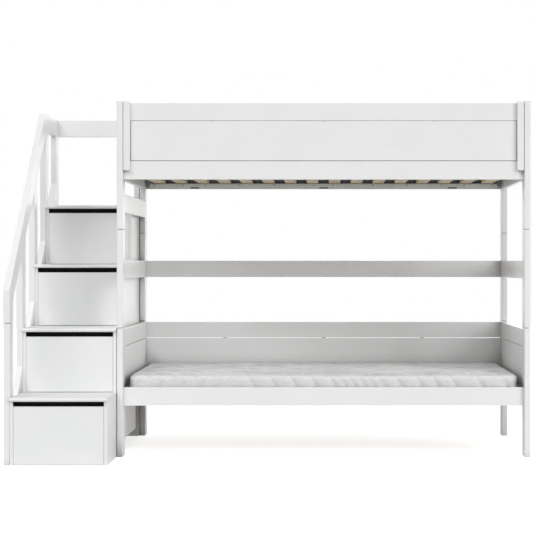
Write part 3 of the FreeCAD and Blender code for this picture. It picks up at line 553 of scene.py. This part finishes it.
def swollen(mesh, rest):
    """Blow the cover up from inside, and return its points with their movement capped."""
    cover = link("cover_at_work", mesh)
    cloth = cover.modifiers.new("Cloth", "CLOTH")
    cloth.settings.quality = 4
    cloth.settings.mass = 0.3
    cloth.settings.tension_stiffness = 12
    cloth.settings.compression_stiffness = 12
    cloth.settings.bending_stiffness = 0.6
    cloth.settings.use_pressure = True
    cloth.settings.uniform_pressure_force = 4
    cloth.settings.effector_weights.gravity = 0
    cloth.point_cache.frame_start = 1
    cloth.point_cache.frame_end = CLOTH_FRAMES
    scene = bpy.context.scene
    for moment in range(1, CLOTH_FRAMES + 1):
        scene.frame_set(moment)
    after = points_of(evaluated_mesh(cover))
    bpy.data.objects.remove(cover)
    scene.frame_set(1)
    shift = after - rest
    length = np.linalg.norm(shift, axis=1, keepdims=True)
    return rest + shift * np.minimum(1, SWELL_CAP / np.maximum(length, TINY))


def press_flat(mesh, base):
    """Lay the underside on the slats."""
    spots = points_of(mesh)
    spots[:, 2] = np.maximum(spots[:, 2], base)
    spots[spots[:, 2] < base + BASE_SNAP, 2] = base
    move_points(mesh, spots)


def subdivided(mesh):
    thing = link("cover_at_work", mesh)
    rounds = thing.modifiers.new("Subdivision", "SUBSURF")
    rounds.levels = 1
    rounds.render_levels = 1
    finer = evaluated_mesh(thing)
    bpy.data.objects.remove(thing)
    return finer


def cover_place(spots, low, high):
    """Coordinates on the cover laid flat, over the top and on down the sides, and the way out of the
    sides."""
    centre = (low + high) / 2
    room = (high - low)[:2] / 2 - COVER_CORNER
    across = spots[:, :2] - centre[:2]
    outward = across - np.clip(across, -room, room)
    outward = outward / np.maximum(np.linalg.norm(outward, axis=1, keepdims=True), TINY)
    shoulder = high[2] - EDGE_ROUND
    drop = np.clip(shoulder - spots[:, 2:3], 0, None)
    return across + outward * drop, outward


def line_phase(flat, half_width):
    """Place across the sewn lines, counted in lines, how the lines lean, and how far apart they are. They
    run across the bed in waves."""
    swing = np.clip((flat[:, 0] - TURN_PLACE) / LINE_TURN, -1, 1) * LINE_SWING
    wave = 2 * math.pi * (flat[:, 1] + half_width + WAVE_START) / LINE_WAVE
    lean = swing * np.sin(wave) * 2 * math.pi / LINE_WAVE
    lines = np.array(LINE_PLACES) * MM
    straight = flat[:, 0] - swing * np.cos(wave)
    phase = np.interp(straight, lines, np.arange(len(lines)))
    return phase, lean, np.interp(straight, (lines[1:] + lines[:-1]) / 2, np.diff(lines))


def quilt(mesh, low, high):
    """Fit the cover to the CAD box, puff it up between its sewn lines, shape its sides and ends, and keep
    the place across the lines for the finish."""
    size = high - low
    spots = points_of(mesh)
    least, most = spots.min(axis=0), spots.max(axis=0)
    spots = low + (spots - least) * size / (most - least)
    move_points(mesh, spots)

    flat, outward = cover_place(spots, low, high)
    phase, lean, pitch = line_phase(flat, size[1] / 2)
    apart = np.abs(phase - np.round(phase)) * pitch / np.sqrt(1 + lean ** 2)
    puff = 1 - np.exp(-(apart / PUFF_REACH) ** 2)
    rise = (spots[:, 2] - low[2]) / size[2]
    above = np.clip((rise - WIDEST) / (1 - WIDEST), 0, 1)
    below = np.clip((WIDEST - rise) / WIDEST, 0, 1)
    free = np.clip((spots[:, 2] - low[2]) / PUFF_FOOT, 0, 1)
    spots += normals_of(mesh) * (PUFF * (puff - PUFF_LEVEL) * free)[:, None]

    end, side = np.abs(outward.T) ** CORNER_FADE
    foot = END_SPREAD * end - (SIDE_SWELL + SIDE_TUCK) * side
    stand = SIDE_SWELL * np.cos(above * math.pi / 2) + foot * (1 - np.cos(below * math.pi / 2))
    spots[:, :2] += outward * stand[:, None]
    slack = np.array([COVER_SLACK, COVER_SLACK, CROWN_SLACK])
    move_points(mesh, np.clip(spots, low - COVER_SLACK, high + slack))
    lines = mesh.attributes.new("line_phase", "FLOAT", "POINT")
    lines.data.foreach_set("value", phase.astype(np.float32))


def flatten_underside(mesh, base):
    """Make the flat underside one face, since it only lies on the slats."""
    work = bmesh.new()
    work.from_mesh(mesh)
    level = base + 0.5 * MM
    flat = [face for face in work.faces if all(v.co.z < level for v in face.verts)]
    bmesh.ops.dissolve_faces(work, faces=flat, use_verts=True)
    bmesh.ops.triangulate(work, faces=[face for face in work.faces if len(face.verts) > 4])
    work.to_mesh(mesh)
    work.free()


def build_mattress():
    """The cover of the lower mattress."""
    low, high = corners("lower_mattress")
    cover = foam_blank(low, high)
    move_points(cover, swollen(cover.copy(), points_of(cover)))
    press_flat(cover, low[2])
    mesh = subdivided(cover)
    quilt(mesh, low, high)
    flatten_underside(mesh, low[2])
    smooth(mesh)
    return mesh


def stitch_spots(mesh):
    """Where the stitches lie on the cover, which way each faces, and which way its line runs."""
    low, high = corners("lower_mattress")
    centre = (low + high) / 2
    half_width = (high - low)[1] / 2
    shoulder = high[2] - EDGE_ROUND
    skin = BVHTree.FromPolygons([v.co for v in mesh.vertices], [tuple(p.vertices) for p in mesh.polygons])
    reach = half_width + shoulder - low[2] - STITCH_FOOT
    runs = np.arange(-reach, reach, STITCH_PITCH)
    spots, facings, ways = [], [], []
    for line, place in enumerate(LINE_PLACES[1:-1], start=1):
        flat = np.column_stack([np.full(len(runs), place * MM), runs])
        for settle in range(SETTLE_ROUNDS):
            phase, lean, pitch = line_phase(flat, half_width)
            flat[:, 0] -= (phase - line) * pitch
        before = None
        for across, run in flat:
            along = centre[0] + across
            if abs(run) < half_width:
                start, towards = (along, centre[1] + run, high[2] + CAST_FROM), (0, 0, -1)
            else:
                side = math.copysign(1, run)
                out = centre[1] + side * (half_width + CAST_FROM)
                start, towards = (along, out, shoulder - (abs(run) - half_width)), (0, -side, 0)
            hit, facing = skin.ray_cast(Vector(start), Vector(towards))[:2]
            if hit is not None and before is not None and (hit - before).length < STITCH_GAP:
                spots.append(hit)
                facings.append(facing)
                ways.append((hit - before).normalized())
            before = hit
    return np.array(spots), np.array(facings), np.array(ways)


def place_mattresses():
    """Both mattresses are alike, so the upper one is a copy of the lower."""
    mesh = build_mattress()
    lower_base = corners("lower_mattress")[0]
    spots, facings, ways = stitch_spots(mesh)
    stitches = stitch_tree()
    for level in ("lower", "upper"):
        own = mesh.copy()
        own.name = level + "_mattress_cover"
        shift = corners(level + "_mattress")[0] - lower_base
        move_points(own, points_of(own) + shift)
        own.materials.clear()
        own.materials.append(COVER)
        pad = link(level + "_mattress_cover", own)
        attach(pad, BED)
        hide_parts(level + "_mattress")
        thread = repeat(level + "_mattress_stitches", stitches, spots + shift, facings, ways, THREAD,
                        "mattress_cover", Length=STITCH_LENGTH, Thick=STITCH_THICK)
        smooth(thread.data)


# Slat ledger screws and clips, and the heads of the rail bolts

FRONT_RAILS = ("lower_front_rail", "upper_front_rail")
# All ledgers are one CAD node, whose box gives only their length and their outer faces
LEDGER_THICK = 20 * MM
LEDGER_HEIGHT = 22 * MM
LEDGER_LIFT = 10 * MM    # from a rail's lower edge up to the ledger
SCREW_OFFSETS = [54, 278, 472, 666, 794, 956]    # mm each way from the middle of a ledger
CLIP_OFFSETS = [-728, 0, 728]                    # mm from the middle of a ledger


def ledger_faces():
    """For each slat ledger: its middle along X, its inner face, its underside and the way it faces."""
    low, high = corners("slat_ledgers")
    middle = (low[0] + high[0]) / 2
    for rail in FRONT_RAILS:
        under = corners(rail)[0][2] + LEDGER_LIFT
        yield middle, low[1] + LEDGER_THICK, under, 1.0
        yield middle, high[1] - LEDGER_THICK, under, -1.0


def place_screws(fasteners):
    spots, facings = [], []
    for middle, face, under, way in ledger_faces():
        for offset in SCREW_OFFSETS:
            for side in (-1, 1):
                spots.append((middle + side * offset * MM, face, under + LEDGER_HEIGHT / 2))
                facings.append((0, way, 0))
    repeat("ledger_screws", fasteners, spots, facings, [UP] * len(spots), PHOSPHATE, "zinc_steel",
           Head=6 * MM, Rim=5.4 * MM, Height=0.8 * MM, Socket=3 * MM, Depth=1.2 * MM)


def place_clips():
    spots, facings = [], []
    for middle, face, under, way in ledger_faces():
        for offset in CLIP_OFFSETS:
            spots.append((middle + offset * MM, face - way * LEDGER_THICK, under))
            facings.append((0, way, 0))
    repeat("ledger_clips", clip_tree(), spots, facings, [UP] * len(spots), PHOSPHATE, "zinc_steel")


def place_bolts(fasteners):
    """The bolts go through the posts into the ends of the long boards, in front and at the back."""
    spots, facings = [], []
    left = corners("front_left_post_lower")[0][0]
    right = corners("front_right_post_lower")[1][0]
    for rail in FRONT_RAILS:
        low, high = corners(rail)
        height = (low[2] + high[2]) / 2
        for board in ("lower_front_rail", "middle_back_board"):
            near, far = corners(board)
            across = (near[1] + far[1]) / 2
            for end, way in ((left, -1), (right, 1)):
                spots.append((end, across, height))
                facings.append((way, 0, 0))
    bolts = repeat("bed_bolt_heads", fasteners, spots, facings, [UP] * len(spots), ZINC, "zinc_steel",
                   Head=14 * MM, Rim=12.6 * MM, Height=2 * MM, Socket=5 * MM, Depth=2.6 * MM,
                   Shank=6 * MM, Length=70 * MM)
    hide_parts("bed_bolts")


def place_fittings():
    fasteners = fastener_tree()
    place_screws(fasteners)
    place_clips()
    place_bolts(fasteners)


# Camera, floor and light, as in the photograph: level, from in front of the bed

CAMERA_PLACE = (0.246, -7.5015, 0.9659)    # from the perspective that was fitted to the photo
SENSOR, LENS = 36, 96.78                   # mm
FRAME_SHIFT = (-0.106, -0.0047)
WORLD_FILL = 0.06       # strength of the soft light from all round
FLOOR_GLOW = 0.7        # light of its own that the floor shows
FLOOR_BOUNCE = 0.65     # how much light the floor throws back up under the bed
FLOOR_HALF = 14         # from its middle to its edge
FLOOR_DROP = 0.5 * MM   # keeps it just clear of the feet
PAPER_CLOUDS = 1.5      # clouds of tone to a metre of floor
LAMP_SPREAD = 35        # degrees; a wide lamp throws soft shadows
LAMP_FAR = 6            # where a lamp stands, which doesn't change its light
LAMPS = {
    # name: degrees round to the right of the camera, degrees up, strength
    "right_high": (38, 45, 0.64),
    "left_high": (-38, 45, 1.54),
    "right_low": (45, 15, 1.44),
    "top": (0, 86, 0.18),
    "back_right": (150, 40, 0.50),
    "back_left": (-150, 40, 0.16),
    # low, so that they show the back and the stair's outer side and hardly reach the front
    "behind": (178, 8, 0.80),
    "left_side": (-106, 3, 0.36),
}


def build_camera():
    camera = bpy.data.objects.new("camera", bpy.data.cameras.new("camera"))
    bpy.context.scene.collection.objects.link(camera)
    camera.location = CAMERA_PLACE
    camera.rotation_euler = (math.radians(90), 0, 0)
    camera.data.sensor_width = SENSOR
    camera.data.lens = LENS
    camera.data.shift_x, camera.data.shift_y = FRAME_SHIFT
    bpy.context.scene.camera = camera


def seen_directly(tree):
    """1 for rays that show the studio itself, straight or in gloss and glass, and 0 for the light that it
    gives."""
    rays = add(tree, "ShaderNodeLightPath").outputs
    shown = add(tree, "ShaderNodeMath", {"operation": "MAXIMUM"},
                {0: rays["Is Camera Ray"], 1: rays["Is Glossy Ray"]}).outputs[0]
    return add(tree, "ShaderNodeMath", {"operation": "MAXIMUM"},
               {0: shown, 1: rays["Is Transmission Ray"]}).outputs[0]


def build_world():
    world = bpy.data.worlds.new("white_studio")
    bpy.context.scene.world = world
    world.use_nodes = True
    tree = world.node_tree
    tree.nodes.clear()
    fill = add(tree, "ShaderNodeBackground", inputs={"Color": linear("#F6F8FA"), "Strength": WORLD_FILL})
    white = add(tree, "ShaderNodeBackground", inputs={"Color": grey(1.0), "Strength": 1.0})
    both = add(tree, "ShaderNodeMixShader", inputs={
        0: seen_directly(tree), 1: fill.outputs[0], 2: white.outputs[0]})
    add(tree, "ShaderNodeOutputWorld", inputs={"Surface": both.outputs[0]})


def studio_paper(name):
    """Matt white paper that glows enough to look white in the open, and keeps the bed's shadow."""
    material, tree = finish_named(name)
    place = add(tree, "ShaderNodeTexCoord").outputs["Object"]
    clouds = add(tree, "ShaderNodeTexNoise", inputs={"Vector": place, "Scale": PAPER_CLOUDS}).outputs["Fac"]
    colour = add(tree, "ShaderNodeValToRGB", inputs={"Fac": clouds}, stops=[
        (0.3, linear("#EFEFEF")), (0.7, linear("#F4F4F4"))]).outputs["Color"]
    paper = add(tree, "ShaderNodeBsdfDiffuse", inputs={"Color": colour})
    glow = add(tree, "ShaderNodeEmission", inputs={"Color": grey(1.0), "Strength": FLOOR_GLOW})
    lit = add(tree, "ShaderNodeAddShader", inputs={0: paper.outputs[0], 1: glow.outputs[0]})
    dimmer = add(tree, "ShaderNodeBsdfDiffuse", inputs={"Color": grey(FLOOR_BOUNCE)})
    both = add(tree, "ShaderNodeMixShader", inputs={
        0: seen_directly(tree), 1: dimmer.outputs[0], 2: lit.outputs[0]})
    add(tree, "ShaderNodeOutputMaterial", inputs={"Surface": both.outputs[0]})
    return material


def build_floor():
    work = bmesh.new()
    bmesh.ops.create_grid(work, x_segments=4, y_segments=4, size=FLOOR_HALF)
    sheet = bpy.data.meshes.new("studio_floor")
    work.to_mesh(sheet)
    work.free()
    sheet.materials.append(studio_paper("matt_white_studio_floor"))
    floor = link("studio_floor", sheet)
    floor.location = (0, 0, -FLOOR_DROP)


def build_light():
    """Wide soft lamps far off, so that the long front is lit evenly from end to end."""
    for name, (around, up, strength) in LAMPS.items():
        lamp = bpy.data.lights.new(name, "SUN")
        lamp.energy = strength
        lamp.angle = math.radians(LAMP_SPREAD)
        thing = bpy.data.objects.new(name, lamp)
        bpy.context.scene.collection.objects.link(thing)
        turn, lift = math.radians(around), math.radians(up)
        level = math.cos(lift)
        towards = Vector((math.sin(turn) * level, -math.cos(turn) * level, math.sin(lift)))
        thing.location = LAMP_FAR * towards
        thing.rotation_euler = (-towards).to_track_quat("-Z", "Y").to_euler()


place_mattresses()
place_fittings()
build_camera()
build_world()
build_floor()
build_light()
bpy.context.scene.view_settings.view_transform = "Standard"
